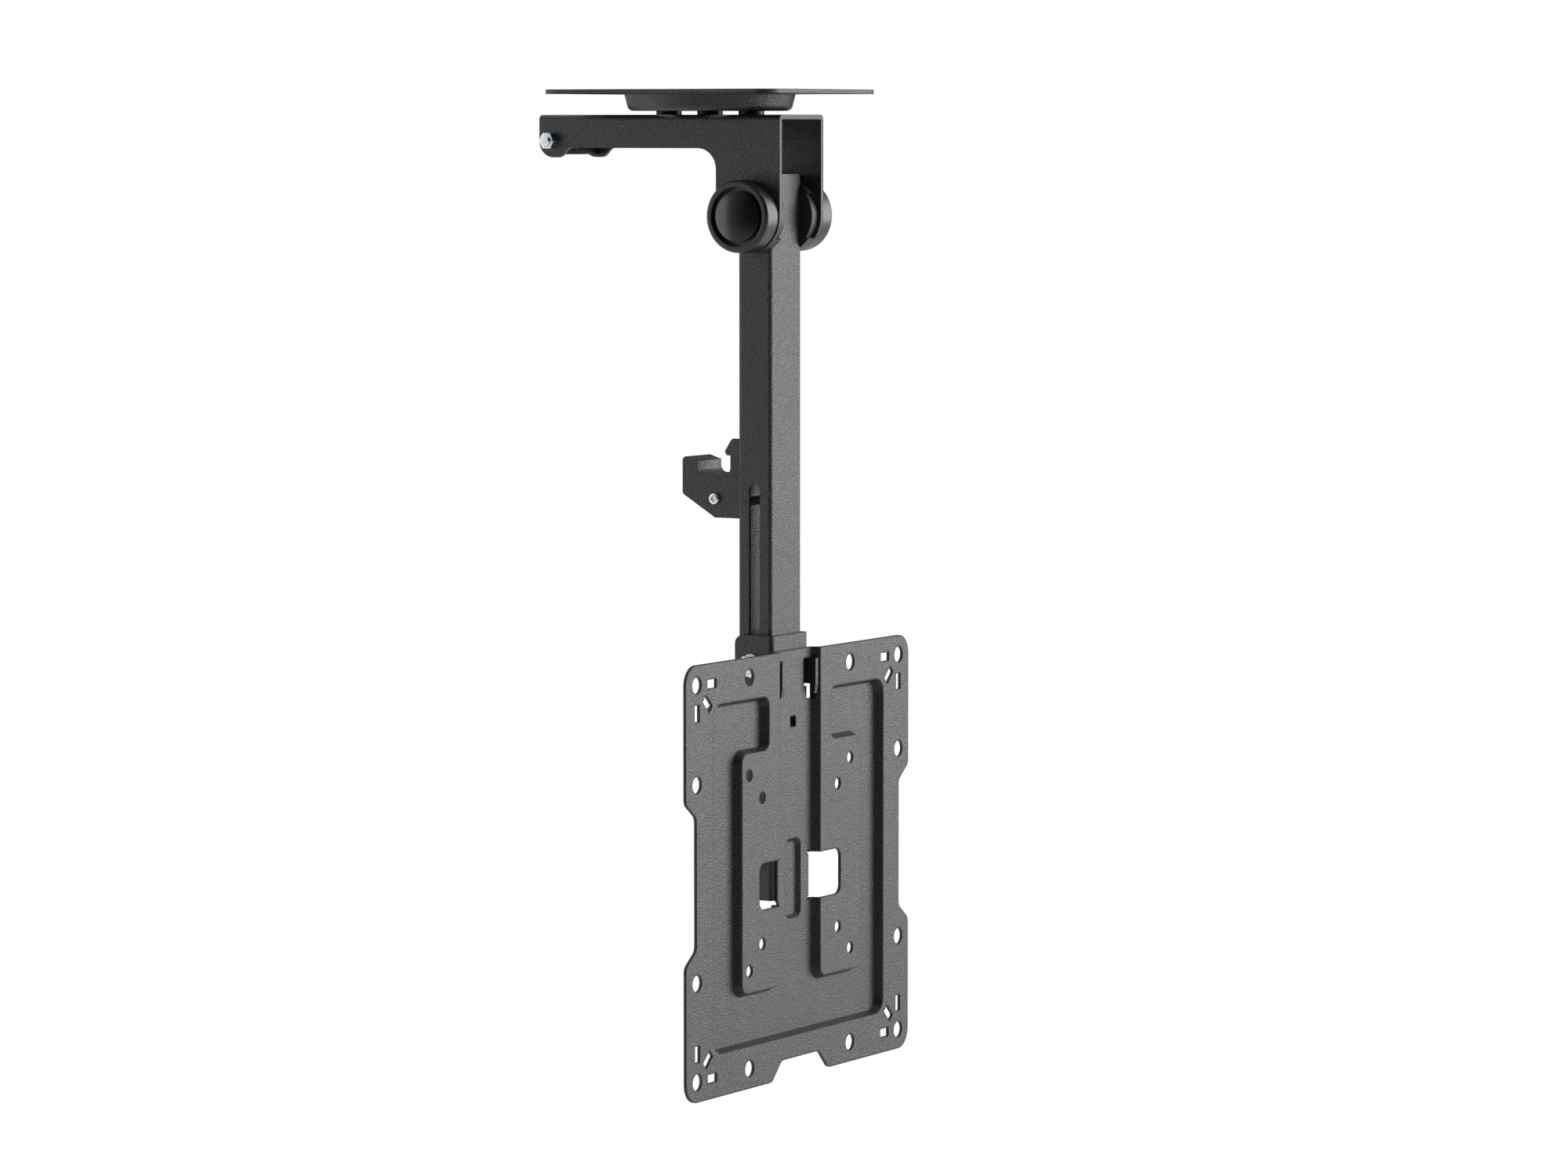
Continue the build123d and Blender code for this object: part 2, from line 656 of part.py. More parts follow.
# Hub covers and the domed caps that close them
hub_face = flange_outer + hub_height
stem_bore_r = m8["flats"] / sqrt(3)
groove_floor = hub_face - hub_groove_depth
for side, word in ((-1, "left"), (1, "right")):
    hub_axis = Axis((0, hinge_y, hinge_z), (1, 0, 0))
    hub_section = Plane(origin=(0, hinge_y, hinge_z), x_dir=(side, 0, 0), z_dir=(0, side, 0))
    with BuildPart() as hub_cover:
        with BuildSketch(hub_section):
            with BuildLine():
                Polyline(
                    (flange_outer, hub_dia / 2),
                    (hub_face, hub_dia / 2),
                    (hub_face, hub_groove_outer_r),
                    (groove_floor, hub_groove_outer_r),
                    (groove_floor, cap_stem_r),
                    (groove_floor - hub_wall, cap_stem_r),
                    (groove_floor - hub_wall, hub_dia / 2 - hub_wall),
                    (flange_outer, hub_dia / 2 - hub_wall),
                    close=True,
                )
            make_face()
            fillet(vertices().sort_by_distance((hub_face, hub_dia / 2))[0], hub_rim)
        revolve(axis=hub_axis)
    save(hub_cover, f"hub_cover_{word}")
    with BuildPart() as hub_cap:
        with BuildSketch(hub_section):
            with BuildLine():
                edge_of_dome = (hub_face - cap_edge_below_face, cap_r)
                crown = (hub_face + cap_rise, 0)
                Polyline(
                    crown,
                    (crown[0] - cap_wall, 0),
                    (crown[0] - cap_wall, stem_bore_r),
                    (groove_floor - hub_wall, stem_bore_r),
                    (groove_floor - hub_wall, cap_stem_r),
                    (groove_floor, cap_stem_r),
                    (groove_floor, cap_r),
                    edge_of_dome,
                )
                dome_drop = crown[0] - edge_of_dome[0]
                dome_r = (cap_r**2 + dome_drop**2) / (2 * dome_drop)
                dome_mid = (crown[0] - dome_r + sqrt(dome_r**2 - cap_r**2 / 4), cap_r / 2)
                ThreePointArc(edge_of_dome, dome_mid, crown)
            make_face()
        revolve(axis=hub_axis)
    save(hub_cap, f"hub_cap_{word}")

# Slide bracket: a channel round the tube's front, with a hook on each side for the plate
slide_rear = tube_back + slide_rear_overlap
with BuildPart() as slide_bracket:
    with BuildSketch(Plane.XY.offset(plate_z + slide_bottom)):
        with Locations((0, slide_web_front)):
            Rectangle(2 * slide_outer, slide_rear - slide_web_front, align=(Align.CENTER, Align.MIN))
        fillet(vertices().group_by(Axis.Y)[0], slide_bend)
        with Locations((0, slide_web_back)):
            Rectangle(
                2 * slide_inner,
                slide_rear - slide_web_back,
                align=(Align.CENTER, Align.MIN),
                mode=Mode.SUBTRACT,
            )
    extrude(amount=slide_top - slide_bottom)
    top_rear = edges().filter_by(Axis.X).group_by(Axis.Z)[-1].group_by(Axis.Y)[-1]
    fillet(top_rear, slide_rear_corner)
    with BuildSketch(Plane.XZ.offset(-slide_web_front)):
        for side in (-1, 1):
            with Locations((side * slide_outer, plate_z + hook_top)):
                Rectangle(
                    slide_outer - hook_blank_inner,
                    hook_height + hook_nose + nose_slope,
                    align=(Align.MAX if side > 0 else Align.MIN, Align.MAX),
                )
    extrude(amount=-slide_bend, mode=Mode.SUBTRACT)
    for flange_face in (-slide_outer, slide_inner):
        with BuildSketch(Plane.YZ.offset(flange_face)):
            with BuildLine():
                nose_rear = plate_front + press_depth - nose_gap
                Polyline(
                    (slide_web_front + slide_bend, plate_z + hook_top),
                    (hook_front, plate_z + hook_top),
                    (hook_front, plate_z + hook_foot),
                    (hook_front + nose_slope, plate_z + hook_foot - hook_nose),
                    (nose_rear, plate_z + hook_foot - hook_nose),
                    (nose_rear, plate_z + hook_foot),
                    (slide_web_front + slide_bend, plate_z + hook_foot),
                    close=True,
                )
            make_face()
        extrude(amount=slide_sheet)
    with BuildSketch(Plane.XZ.offset(-slide_web_back)):
        notch_half = boss_half + plate_sheet + 2 * slide_front_clearance + slide_notch_side
        notch_top = boss_top + plate_sheet + slide_notch_head
        with Locations((0, plate_z + slide_bottom)):
            Rectangle(2 * notch_half, notch_top - slide_bottom, align=(Align.CENTER, Align.MIN))
        fillet(vertices().group_by(Axis.Y)[-1], boss_corner)
        with Locations((0, plate_z + square_hole_height)):
            Circle(square_hole / 2)
    extrude(amount=slide_sheet, mode=Mode.SUBTRACT)
    with BuildSketch(Plane.YZ.offset(-slide_outer)):
        with Locations(*[(hinge_y, z) for z in height_bolt_z]):
            Circle((m6["shank"] + hole_clearance) / 2)
    extrude(amount=2 * slide_outer, mode=Mode.SUBTRACT)
save(slide_bracket, "slide_bracket")

# Height bolts: they clamp the slide bracket through the tube's slots
washer_spots = [(-slide_outer, hinge_y, z) for z in height_bolt_z]
height_washers = washer(washer_spots, near, m6["washer_dia"], m6["shank"], m6["washer"])
save(height_washers, "height_washers")
height_seat = slide_outer + m6["washer"]
height_bolts = bolt(
    [(-height_seat, hinge_y, z) for z in height_bolt_z],
    near,
    m6,
    height_seat + slide_outer + m6["nut"] + bolt_end,
)
save(height_bolts, "height_bolts")
height_nuts = nut([(slide_outer, hinge_y, z) for z in height_bolt_z], far, m6, m6["shank"])
save(height_nuts, "height_nuts")


def plate_outline():
    """Face of the flat blank: a square with side notches and a foot notch."""
    half_x = plate_half_x
    half_z = plate_half_z
    with BuildSketch(mode=Mode.PRIVATE) as blank:
        Rectangle(2 * half_x, 2 * half_z)
        for side in (-1, 1):
            with BuildLine():
                Polyline(
                    (side * half_x, side_notch_out),
                    (side * side_notch_x, side_notch_in),
                    (side * side_notch_x, -side_notch_in),
                    (side * half_x, -side_notch_out),
                    close=True,
                )
            make_face(mode=Mode.SUBTRACT)
        with BuildLine():
            Polyline(
                (-foot_notch_foot, -half_z),
                (-foot_notch_top, -half_z + foot_notch_rise),
                (foot_notch_top, -half_z + foot_notch_rise),
                (foot_notch_foot, -half_z),
                close=True,
            )
        make_face(mode=Mode.SUBTRACT)
        for x in (-half_x, half_x):
            for z in (-half_z, half_z):
                fillet(blank.vertices().sort_by_distance((x, z))[0], plate_corner)
        notches = []
        for side in (-1, 1):
            for level in (-1, 1):
                notches.append((side * half_x, level * side_notch_out))
                notches.append((side * side_notch_x, level * side_notch_in))
            notches.append((side * foot_notch_foot, -half_z))
            notches.append((side * foot_notch_top, -half_z + foot_notch_rise))
        for notch in notches:
            fillet(blank.vertices().sort_by_distance(notch)[0], notch_corner)
    return blank.sketch_local


def press_region():
    """Area pressed back from the front face: a framed field with two panels left standing."""
    with BuildSketch(mode=Mode.PRIVATE) as region:
        RectangleRounded(2 * frame_x, 2 * frame_z, frame_corner)
        for side, beyond in ((-1, panel_beyond_left), (1, panel_beyond_right)):
            outer = middle_half + beyond
            with BuildLine():
                Polyline(
                    (side * strip_half, frame_z + cut_margin),
                    (side * neck_outer, frame_z + cut_margin),
                    (side * neck_outer, panel_head),
                    (side * outer, panel_head),
                    (side * outer, -panel_foot),
                    (side * strip_half, -panel_foot),
                    close=True,
                )
            make_face(mode=Mode.SUBTRACT)
            for corner in (
                (side * outer, panel_head),
                (side * outer, -panel_foot),
                (side * strip_half, -panel_foot),
                (side * neck_outer, panel_head),
                (side * neck_outer, frame_z),
            ):
                fillet(region.vertices().sort_by_distance(corner)[0], panel_corner)
        with Locations((0, frame_z - cut_margin)):
            Rectangle(2 * strip_half, plate_half_z, align=(Align.CENTER, Align.MIN))
    return region.sketch_local


def is_pressed(edge):
    """True for an edge that runs along the pressed field, false on the outline of the blank."""
    middle = edge.position_at(0.5)
    reach_x = frame_x + cut_margin
    reach_z = frame_z + cut_margin
    inside = abs(middle.X) < reach_x and abs(middle.Z - plate_z) < reach_z
    return inside or (abs(middle.X) < strip_half + cut_margin and middle.Z > plate_z)


# Screen plate: one pressed sheet
blank_face = plate_outline()
press_face = press_region()
wall_offset = plate_sheet / cos(radians(press_draft))
with BuildPart() as vesa_plate:
    with BuildSketch(plate_plane):
        add(press_face)
        offset(amount=wall_offset, kind=Kind.INTERSECTION)
    extrude(amount=-(press_depth + plate_sheet), taper=press_draft)
    with BuildSketch(plate_plane):
        add(blank_face)
    extrude(amount=-(press_depth + plate_sheet), mode=Mode.INTERSECT)
    with BuildSketch(plate_plane):
        add(blank_face)
    extrude(amount=-plate_sheet)
    with BuildSketch(plate_plane):
        add(press_face)
    extrude(amount=-press_depth, taper=press_draft, mode=Mode.SUBTRACT)
    front_low = plate_front - face_tolerance
    front_high = plate_front + face_tolerance
    front_edges = edges().filter_by_position(Axis.Y, front_low, front_high)
    fillet([edge for edge in front_edges if is_pressed(edge)], press_bend)
    with BuildSketch(plate_plane.offset(-press_depth)):
        with Locations((0, (boss_top - boss_foot) / 2)):
            RectangleRounded(
                2 * (boss_half + plate_sheet),
                boss_top + boss_foot + 2 * plate_sheet,
                boss_corner + plate_sheet,
            )
    extrude(amount=-(boss_depth + plate_sheet), taper=boss_draft)
    with BuildSketch(plate_plane.offset(-press_depth)):
        with Locations((0, (boss_top - boss_foot) / 2)):
            RectangleRounded(2 * boss_half, boss_top + boss_foot, boss_corner)
    extrude(amount=-boss_depth, taper=boss_draft, mode=Mode.SUBTRACT)
    with BuildSketch(plate_plane):
        with GridLocations(wide_pattern, wide_pattern, 2, 2):
            Circle(wide_hole_dia / 2)
        with GridLocations(wide_pattern, middle_pattern, 2, 2):
            Circle(wide_hole_dia / 2)
        with GridLocations(middle_pattern, wide_pattern, 2, 2):
            Circle(wide_hole_dia / 2)
        with GridLocations(middle_pattern, middle_pattern, 2, 2):
            Circle(small_hole_dia / 2)
        with GridLocations(small_pattern, small_pattern, 2, 2):
            Circle(small_hole_dia / 2)
        for side in (-1, 1):
            for level in (-1, 1):
                tie_in = wide_half - tie_slot_along
                tie_out = wide_half - tie_slot_across
                tie_middle = wide_half - tie_slot_diagonal
                with Locations((side * tie_in, level * tie_out)):
                    Rectangle(tie_slot_long, tie_slot_short)
                with Locations((side * tie_out, level * tie_in)):
                    Rectangle(tie_slot_short, tie_slot_long)
                with Locations(Location((side * tie_middle, level * tie_middle), side * level * 45)):
                    Rectangle(tie_slot_long, tie_slot_short)
        with Locations((0, square_hole_height)):
            Rectangle(square_hole, square_hole)
        for side in (-1, 1):
            inner_align = Align.MIN if side > 0 else Align.MAX
            with Locations((side * window_inner, window_top)):
                Rectangle(
                    window_outer - window_inner,
                    window_top + window_foot,
                    align=(inner_align, Align.MAX),
                )
            hook_slot_outer = slide_outer + hook_slot_side
            with Locations((side * hook_slot_outer, hook_top)):
                outer_align = Align.MAX if side > 0 else Align.MIN
                Rectangle(
                    hook_slot_outer - hook_blank_inner,
                    hook_height + hook_slot_ledge,
                    align=(outer_align, Align.MAX),
                )
                Rectangle(
                    hook_slot_outer - slide_inner + hook_slot_step,
                    hook_height + hook_nose + hook_slot_foot,
                    align=(outer_align, Align.MAX),
                )
        for side in (-1, 1):
            for level in (window_top, -window_foot):
                outer_corner = vertices().sort_by_distance((side * window_outer, level))[0]
                fillet(outer_corner, window_corner)
                with Locations((side * window_inner, level)):
                    Circle(relief_r)
    extrude(amount=-(press_depth + plate_sheet), mode=Mode.SUBTRACT)
save(vesa_plate, "vesa_plate")
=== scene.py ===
import bpy
from math import cos, pi, radians, sin, sqrt
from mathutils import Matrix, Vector


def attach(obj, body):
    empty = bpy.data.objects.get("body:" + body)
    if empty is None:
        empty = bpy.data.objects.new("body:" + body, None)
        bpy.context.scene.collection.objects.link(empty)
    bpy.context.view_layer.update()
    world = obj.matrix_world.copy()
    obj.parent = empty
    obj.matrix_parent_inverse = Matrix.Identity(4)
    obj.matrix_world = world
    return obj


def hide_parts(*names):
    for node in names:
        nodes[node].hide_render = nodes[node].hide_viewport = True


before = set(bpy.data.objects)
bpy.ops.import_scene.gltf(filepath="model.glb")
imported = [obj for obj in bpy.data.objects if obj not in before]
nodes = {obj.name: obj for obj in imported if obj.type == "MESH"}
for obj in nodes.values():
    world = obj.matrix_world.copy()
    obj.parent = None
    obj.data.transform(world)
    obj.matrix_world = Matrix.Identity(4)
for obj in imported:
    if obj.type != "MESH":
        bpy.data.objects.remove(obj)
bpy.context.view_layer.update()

# Ceiling plate: one steel sheet with a round dish drawn down from its middle, then powder coated
# charcoal. The coat has a fine dry grain over a soft orange peel and is duller along every fold and
# cut edge, with a few pale rubs; shade is also painted darker into its colour along those edges.


class Socket:
    """An output of a node. A sum, product or power of it adds Math nodes to the same tree."""

    def __init__(self, tree, link):
        self.tree = tree
        self.link = link

    def beside(self, name):
        return Socket(self.tree, self.link.node.outputs[name])

    def math(self, operation, *values):
        return self.tree.add("ShaderNodeMath", {"operation": operation}, dict(enumerate(values)))

    def __add__(self, other):
        return self.math("ADD", self, other)

    def __sub__(self, other):
        return self.math("SUBTRACT", self, other)

    def __rsub__(self, other):
        return self.math("SUBTRACT", other, self)

    def __mul__(self, other):
        return self.math("MULTIPLY", self, other)

    def __truediv__(self, other):
        return self.math("DIVIDE", self, other)

    def __rtruediv__(self, other):
        return self.math("DIVIDE", other, self)

    __radd__ = __add__
    __rmul__ = __mul__


class Tree:
    """A node tree that grows by one method, add: the node's type, its settings, then its sockets."""

    def __init__(self, owner):
        if hasattr(owner, "use_nodes"):
            owner.use_nodes = True
        self.owner = owner
        self.group = owner.node_tree if hasattr(owner, "node_tree") else owner
        self.group.nodes.clear()

    def add(self, kind, settings=None, values=None, output=0):
        node = self.group.nodes.new(kind)
        for key, value in (settings or {}).items():
            setattr(node, key, value)
        for key, value in (values or {}).items():
            for single in value if isinstance(value, list) else [value]:
                if isinstance(single, Socket):
                    self.group.links.new(single.link, node.inputs[key])
                else:
                    node.inputs[key].default_value = single
        return Socket(self, node.outputs[output]) if node.outputs else None

    def noise(self, place, scale, detail=2.0, roughness=0.5):
        values = {"Vector": place, "Scale": scale, "Detail": detail, "Roughness": roughness}
        return self.add("ShaderNodeTexNoise", {"noise_dimensions": "3D"}, values, "Fac")

    def span(self, value, low, high, to_low=0.0, to_high=1.0):
        values = {"Value": value, "From Min": low, "From Max": high, "To Min": to_low, "To Max": to_high}
        return self.add("ShaderNodeMapRange", {"clamp": True}, values)

    def blend(self, share, first, second):
        return self.add("ShaderNodeMix", {"data_type": "RGBA"}, {0: share, 6: first, 7: second}, 2)

    def dot(self, first, second):
        return self.add("ShaderNodeVectorMath", {"operation": "DOT_PRODUCT"}, {0: first, 1: second}, "Value")

    def rounded(self, radius):
        """The normal with every edge softened, and a mask that is 1 on those edges."""
        soft = self.add("ShaderNodeBevel", {"samples": 6}, {"Radius": radius})
        flat = self.add("ShaderNodeNewGeometry", output="Normal")
        facing = self.dot(soft, flat)
        return soft, self.span(1.0 - facing, 0.004, 0.06)

    def bump(self, height, strength, distance, normal):
        values = {"Strength": strength, "Distance": distance, "Height": height, "Normal": normal}
        return self.add("ShaderNodeBump", None, values)

    def surface(self, values):
        shader = self.add("ShaderNodeBsdfPrincipled", None, values)
        self.add("ShaderNodeOutputMaterial", None, {"Surface": shader})
        return self.owner


def grey(level):
    return (level, level, level * 1.02, 1.0)


coat_turn = (0.6, 0.4, 0.2)
coat_relief = 0.00012


def powder_coat(name, level, grain_size, edge):
    """Charcoal powder coat, with a grain and soft edges of the sizes given in metres, and painted shade along
    the soft edges.
    """
    coat = Tree(bpy.data.materials.new(name))
    place = coat.add("ShaderNodeTexCoord", output="Object")
    place = coat.add("ShaderNodeMapping", None, {"Vector": place, "Rotation": coat_turn})
    grain = coat.span(coat.noise(place, 1 / grain_size, 1.0), 0.35, 0.65)
    peel = coat.noise(place, 0.35 / grain_size, 2.0)
    cloud = coat.noise(place, 14.0, 3.0)
    scuff = coat.span(coat.noise(place, 160.0, 4.0, 0.7), 0.6, 0.74)
    normal, edge_shade_and_wear = coat.rounded(edge)
    shade = coat.blend(grain, grey(level * 0.2), grey(level * 1.9))
    shade = coat.blend(coat.span(cloud, 0.35, 0.65, 0.0, 0.3), shade, grey(level * 1.15))
    # Painted shade: the colour is darkened along every fold, crease and cut edge, where the edge mask is 1.
    shade = coat.blend(0.8 * edge_shade_and_wear, shade, grey(level * 0.2))
    shade = coat.blend(0.4 * edge_shade_and_wear * scuff, shade, grey(level * 2.0))
    rough = coat.span(cloud, 0.3, 0.7, 0.39, 0.43) - 0.05 * scuff + 0.3 * edge_shade_and_wear
    relief = coat.bump(0.93 * grain + 0.07 * peel, 1.0, coat_relief, normal)
    return coat.surface({"Base Color": shade, "Roughness": rough, "Normal": relief})


def dress(name, material):
    """Give a CAD piece its finish."""
    nodes[name].data.materials.clear()
    nodes[name].data.materials.append(material)


# Its wider soft edge also widens the painted shade along the plate's cut edge.
dress("ceiling_plate", powder_coat("ceiling_plate_coat", level=0.028, grain_size=0.0007, edge=0.001))

# Swivel arm: a channel folded from one blank, its flanges cut to a long hinge leg at the front and
# two round lobes at the rear. It is coated with the same charcoal powder after folding.
charcoal = powder_coat("charcoal_powder_coat", level=0.028, grain_size=0.0007, edge=0.0004)
dress("swivel_arm", charcoal)

# Swivel bolts: a pivot bolt on the axis and two clamp bolts in the dish's arc slots. They are cold
# headed steel with rolled threads, zinc plated, and their nuts pull the arm up against turned spacers.


def turned(tree, height, rings, sides, base, radius):
    """A closed round body along Z from base, whose radius is an expression of its angle and height."""
    values = {"Vertices": sides, "Side Segments": rings, "Radius": 1.0, "Depth": height}
    body = tree.add("GeometryNodeMeshCylinder", {"fill_type": "NGON"}, values)
    x = tree.add("ShaderNodeSeparateXYZ", None, {0: tree.add("GeometryNodeInputPosition")})
    y = x.beside("Y")
    up = x.beside("Z") + 0.5 * height
    reach = radius(y.math("ARCTAN2", y, x), up)
    moved = tree.add("ShaderNodeCombineXYZ", None, {0: x * reach, 1: y * reach, 2: up + base})
    return tree.add("GeometryNodeSetPosition", None, {"Geometry": body, "Position": moved})


turned_rim = 0.475
thread_flank = 1.1
thread_tip = 0.4


def hexagon(flats, top, foot=None):
    """Radius of a hexagon bar whose corners are turned off at 30 degrees at the top, or at both ends."""

    def radius(angle, up):
        wall = 0.5 * flats / angle.math("COSINE", angle.math("WRAP", angle, pi / 6, -pi / 6))
        slope = turned_rim * flats + sqrt(3) * (top - up)
        cut = wall.math("MINIMUM", wall, slope)
        if foot is not None:
            cut = wall.math("MINIMUM", cut, turned_rim * flats + sqrt(3) * (up - foot))
        return cut

    return radius


def thread(shank, pitch):
    """Radius of a rolled thread with a chamfered tip."""

    def radius(angle, up):
        turn = up / pitch + angle / (2 * pi)
        ridge = turn.math("ABSOLUTE", turn.math("FRACT", turn) - 0.5)
        crest = 0.5 * shank - thread_flank * pitch * (0.5 - ridge)
        return turn.math("MINIMUM", crest, thread_tip * shank + up)

    return radius


def shape_tree(name, sizes):
    """An empty shape tree with spots, sizes, a direction and a metal as its named inputs."""
    group = bpy.data.node_groups.new(name, "GeometryNodeTree")
    inputs = [("Spots", "NodeSocketGeometry")] + [(size, "NodeSocketFloat") for size in sizes]
    for label, kind in inputs + [("Direction", "NodeSocketVector"), ("Metal", "NodeSocketMaterial")]:
        group.interface.new_socket(name=label, in_out="INPUT", socket_type=kind)
    group.interface.new_socket(name="Pieces", in_out="OUTPUT", socket_type="NodeSocketGeometry")
    tree = Tree(group)
    return tree, tree.add("NodeGroupInput")


def set_out(tree, given, piece):
    """Put a copy of the piece on every spot, turned to the direction, as real mesh in the metal."""
    turn = tree.add("FunctionNodeAlignRotationToVector", {"axis": "Z"}, {"Vector": given.beside("Direction")})
    values = {"Points": given, "Instance": piece, "Rotation": turn}
    copies = tree.add("GeometryNodeInstanceOnPoints", None, values)
    solid = tree.add("GeometryNodeRealizeInstances", None, {0: copies})
    metal = {"Geometry": solid, "Material": given.beside("Metal")}
    tree.add("NodeGroupOutput", None, {0: tree.add("GeometryNodeSetMaterial", None, metal)})
    return tree.group


bolt_sizes, given = shape_tree("hexagon_bolt", ["Flats", "Head", "Shank", "Length", "Pitch"])
flats, head, shank, length, pitch = [given.beside(n) for n in ("Flats", "Head", "Shank", "Length", "Pitch")]
rings_per_pitch = 8
bolt_head = turned(bolt_sizes, head, 24, 48, 0.0, hexagon(flats, head))
bolt_shank = turned(bolt_sizes, length, rings_per_pitch * length / pitch, 32, -1.0 * length,
                    thread(shank, pitch))
bolt_whole = bolt_sizes.add("GeometryNodeJoinGeometry", None, {0: [bolt_head, bolt_shank]})
hexagon_bolt = set_out(bolt_sizes, given, bolt_whole)

nut_sizes, given = shape_tree("hexagon_nut", ["Flats", "Height"])
flats, height = given.beside("Flats"), given.beside("Height")
nut_block = turned(nut_sizes, height, 24, 48, 0.0, hexagon(flats, height, 0.0))
hexagon_nut = set_out(nut_sizes, given, nut_block)


def fasteners(name, body, group, spots, direction, sizes, replaced):
    """Bolts or nuts of one size on one body, in place of a plain CAD node."""
    mesh = bpy.data.meshes.new(name)
    mesh.from_pydata([Vector(spot) / 1000 for spot in spots], [], [])
    piece = bpy.data.objects.new(name, mesh)
    bpy.context.scene.collection.objects.link(piece)
    maker = piece.modifiers.new(name, "NODES")
    maker.node_group = group
    values = {key: size / 1000 for key, size in sizes.items()}
    values.update({"Direction": direction, "Metal": zinc_plate})
    for item in group.interface.items_tree:
        if item.in_out == "INPUT" and item.name in values:
            maker[item.identifier] = values[item.name]
    seen = piece.evaluated_get(bpy.context.evaluated_depsgraph_get())
    solid = bpy.data.meshes.new_from_object(seen)
    piece.modifiers.clear()
    piece.data = solid
    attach(piece, body)
    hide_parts(replaced)


plating = Tree(bpy.data.materials.new("zinc_plate"))
place = plating.add("ShaderNodeTexCoord", output="Object")
cloud = plating.noise(place, 220.0, 3.0)
brush = plating.noise(place, 1500.0, 2.0)
normal, edge_mask = plating.rounded(0.00015)
tone = plating.blend(plating.span(cloud, 0.35, 0.65), (0.58, 0.64, 0.72, 1.0), (0.82, 0.84, 0.86, 1.0))
tone = plating.blend(0.5 * edge_mask, tone, (0.93, 0.94, 0.95, 1.0))
relief = plating.bump(brush, 0.2, 0.00003, normal)
shine = plating.span(brush, 0.3, 0.7, 0.2, 0.32)
zinc_plate = plating.surface({"Base Color": tone, "Metallic": 1.0, "Roughness": shine, "Normal": relief})

down = (0.0, 0.0, -1.0)
up = (0.0, 0.0, 1.0)
dish_floor = -8.6
web_underside = -15.3
pivot_washer = 1.6
clamp_washer = 1.2
clamp_spots = [(0.0, 25.0), (0.0, -25.0)]
bolt_m8 = {"Flats": 13.0, "Head": 5.3, "Shank": 8.0, "Pitch": 1.25}
bolt_m6 = {"Flats": 10.0, "Head": 4.0, "Shank": 6.0, "Pitch": 1.0}
fasteners("pivot_bolt_threaded", "arm", hexagon_bolt, [(0, 0, dish_floor + pivot_washer)], up,
          {**bolt_m8, "Length": 17.8}, "pivot_bolt")
fasteners("pivot_nut_hexagon", "arm", hexagon_nut, [(0, 0, web_underside - pivot_washer)], down,
          {"Flats": 13.0, "Height": 6.5}, "pivot_nut")
fasteners("clamp_bolts_threaded", "arm", hexagon_bolt,
          [(x, y, dish_floor + clamp_washer) for x, y in clamp_spots], up,
          {**bolt_m6, "Length": 14.3}, "clamp_bolts")
fasteners("clamp_nuts_hexagon", "arm", hexagon_nut,
          [(x, y, web_underside) for x, y in clamp_spots], down,
          {"Flats": 10.0, "Height": 5.0}, "clamp_nuts")
for name in ("pivot_washer_top", "pivot_washer_under", "clamp_washers"):
    dress(name, zinc_plate)
blackened = Tree(bpy.data.materials.new("blackened_steel"))
place = blackened.add("ShaderNodeTexCoord", output="Object")
cloud = blackened.noise(place, 300.0, 3.0)
normal, edge_mask = blackened.rounded(0.0002)
tone = blackened.blend(blackened.span(cloud, 0.35, 0.65), grey(0.02), grey(0.035))
tone = blackened.blend(0.5 * edge_mask, tone, grey(0.08))
relief = blackened.bump(cloud, 0.2, 0.00003, normal)
shine = blackened.span(cloud, 0.3, 0.7, 0.3, 0.4)
black_steel = blackened.surface({"Base Color": tone, "Metallic": 0.6, "Roughness": shine, "Normal": relief})
for name in ("pivot_spacer", "clamp_spacers"):
    dress(name, black_steel)

# Catch bolt and sleeve: a zinc-plated bolt crosses the arm's rear lobes and carries a shaped sleeve
# that drops into the catch when the tube is folded up. The sleeve is cast and coated like the arm.
bolt_m5 = {"Flats": 8.0, "Head": 3.5, "Shank": 5.0, "Pitch": 0.8}
catch_place = (84.3, -26.3)
flange_outside = 21.6
rightward = (1.0, 0.0, 0.0)
leftward = (-1.0, 0.0, 0.0)
fasteners("catch_bolt_threaded", "arm", hexagon_bolt, [(flange_outside, *catch_place)], rightward,
          {**bolt_m5, "Length": 48.6}, "catch_bolt")
fasteners("catch_nut_hexagon", "arm", hexagon_nut, [(-flange_outside, *catch_place)], leftward,
          {"Flats": 8.0, "Height": 4.0}, "catch_nut")
dress("catch_sleeve", charcoal)

# Drop tube: drawn steel with rounded corners, slotted low down in both sides for the height bolts
# and coated charcoal. A black moulded plug closes its lower end.


def moulded(name, level, smooth, edge, shine=0.5):
    """Black moulded plastic: a fine spark-eroded texture and faint flow clouds."""
    plastic = Tree(bpy.data.materials.new(name))
    place = plastic.add("ShaderNodeTexCoord", output="Object")
    fine = plastic.noise(place, 1800.0, 1.0)
    cloud = plastic.noise(place, 30.0, 2.0)
    normal, rim = plastic.rounded(edge)
    tone = plastic.blend(plastic.span(cloud, 0.3, 0.7), grey(level * 0.85), grey(level * 1.2))
    tone = plastic.blend(0.4 * rim, tone, grey(level * 2.0))
    relief = plastic.bump(fine, 0.15, 0.00002, normal)
    rough = plastic.span(cloud, 0.3, 0.7, smooth, smooth + 0.06)
    values = {"Base Color": tone, "Roughness": rough, "Specular IOR Level": shine, "Normal": relief}
    return plastic.surface(values)


black_plug = moulded("black_plug_plastic", level=0.016, smooth=0.38, edge=0.0004)
dress("drop_tube", charcoal)
dress("tube_plug", black_plug)

